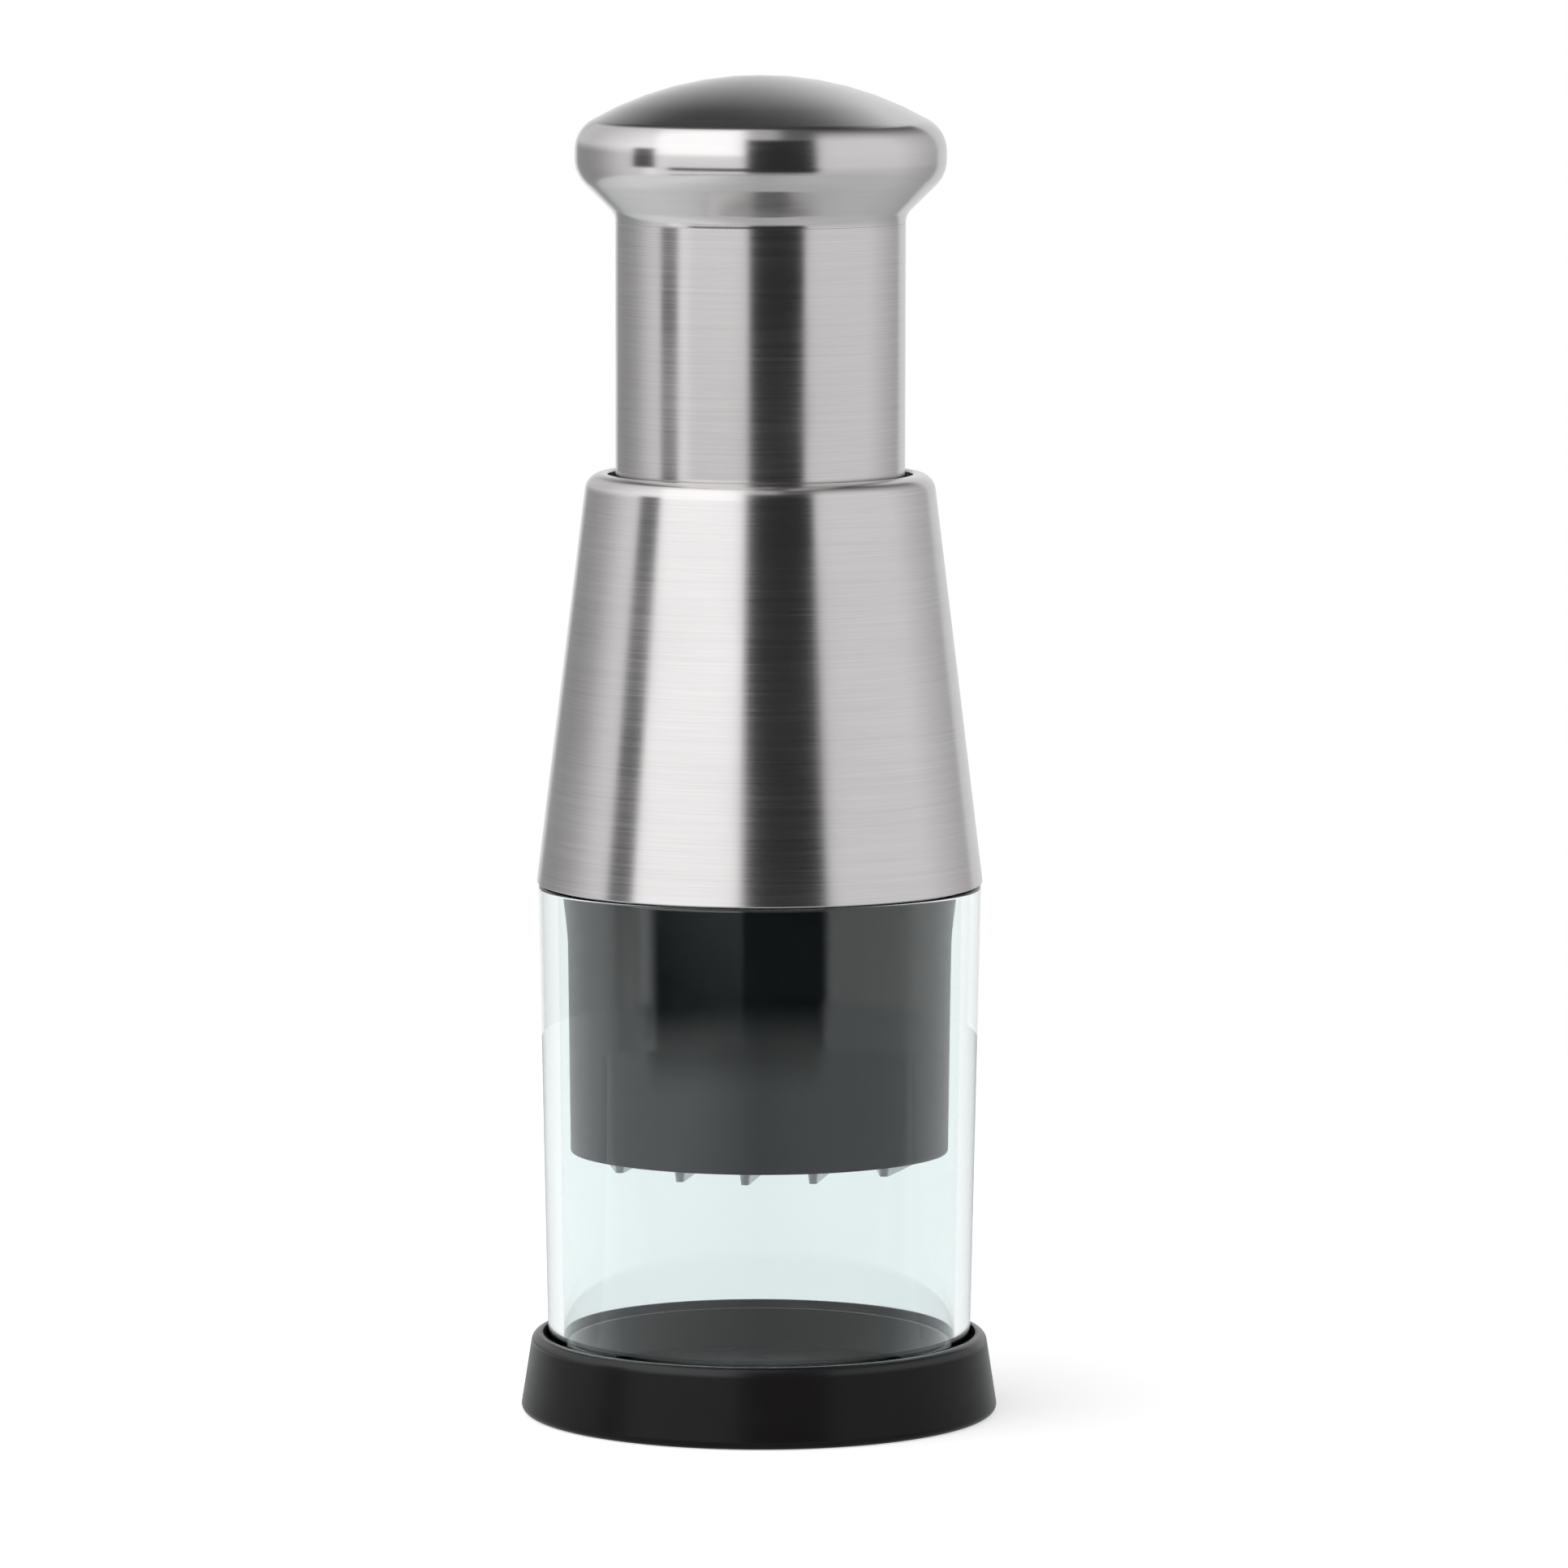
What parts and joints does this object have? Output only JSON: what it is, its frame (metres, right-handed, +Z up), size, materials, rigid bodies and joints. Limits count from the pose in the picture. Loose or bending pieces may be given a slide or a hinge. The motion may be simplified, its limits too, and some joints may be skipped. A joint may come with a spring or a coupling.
{
  "type": "plunger food chopper",
  "caption": "Hand plunger food chopper: steel knob and tube, conical steel housing, clear container over a black base, sprung turning zigzag blade.",
  "frame": {"origin": "centre of the foot, on the surface that the chopper stands on", "axes": "+Z up along the plunger; the front of the zigzag blade faces -Y"},
  "size_m": [0.0576, 0.0576, 0.1616],
  "materials": {
    "brushed_steel": "fine brushing around the axis",
    "satin_steel": "satin polish",
    "blade_steel": "ground strip",
    "spring_steel": "drawn wire",
    "zinc_steel": "zinc plated",
    "clear_plastic": "clear, polished",
    "black_gloss": "polished",
    "black_board": "fine grain",
    "black_plastic": "moulded",
    "guard_grey": "moulded, semi-gloss",
    "white_acetal": "moulded",
    "seal_rubber": "smooth"
  },
  "bodies": {
    "base": {"base_cap": "black_gloss", "cutting_board": "black_board"},
    "container": {"clear_container": "clear_plastic"},
    "housing": {"outer_shell": "brushed_steel", "housing_liner": "black_plastic", "guide_bush": "black_plastic", "blade_guard": "guard_grey", "guard_screws": "zinc_steel", "cam_bush": "white_acetal", "spring_seat": "zinc_steel", "return_spring": "spring_steel", "retaining_ring": "spring_steel", "neck_seal": "seal_rubber"},
    "plunger": {"knob_shell": "satin_steel", "knob_core": "black_plastic", "knob_stud": "zinc_steel", "knob_nut": "zinc_steel", "knob_washer": "zinc_steel", "plunger_tube": "brushed_steel", "stop_collar": "black_plastic", "stop_bumper": "seal_rubber", "thrust_bush": "white_acetal"},
    "blade_head": {"drive_spindle": "zinc_steel", "spindle_screw": "zinc_steel", "spindle_washer": "zinc_steel", "blade_holder": "black_plastic", "zigzag_blade": "blade_steel", "holder_screws": "zinc_steel"},
    "stripper": {"stripper_plate": "guard_grey"}
  },
  "joints": [
    {"name": "container_lift", "type": "slide", "parent": "base", "child": "container", "axis": [0, 0, 1], "range_m": [0, 0.03]},
    {"name": "housing_lift", "type": "slide", "parent": "container", "child": "housing", "axis": [0, 0, 1], "range_m": [0, 0.045]},
    {"name": "plunger_press", "type": "slide", "parent": "housing", "child": "plunger", "axis": [0, 0, -1], "range_m": [0, 0.0255], "stiffness_N_per_m": 480, "springref_m": -0.02, "deforming": ["return_spring"]},
    {"name": "blade_turn", "type": "hinge", "parent": "plunger", "child": "blade_head", "pos_m": [0, 0, 0.05], "axis": [0, 0, 1], "range_deg": [-33.1, 0]},
    {"name": "stripper_turn", "type": "hinge", "parent": "housing", "child": "stripper", "pos_m": [0, 0, 0.034], "axis": [0, 0, 1], "range_deg": [-33.1, 0]}
  ],
  "couplings": [
    {"joint": "blade_turn", "follows": "plunger_press", "rad_per_m": -22.587},
    {"joint": "stripper_turn", "follows": "plunger_press", "rad_per_m": -22.587}
  ]
}
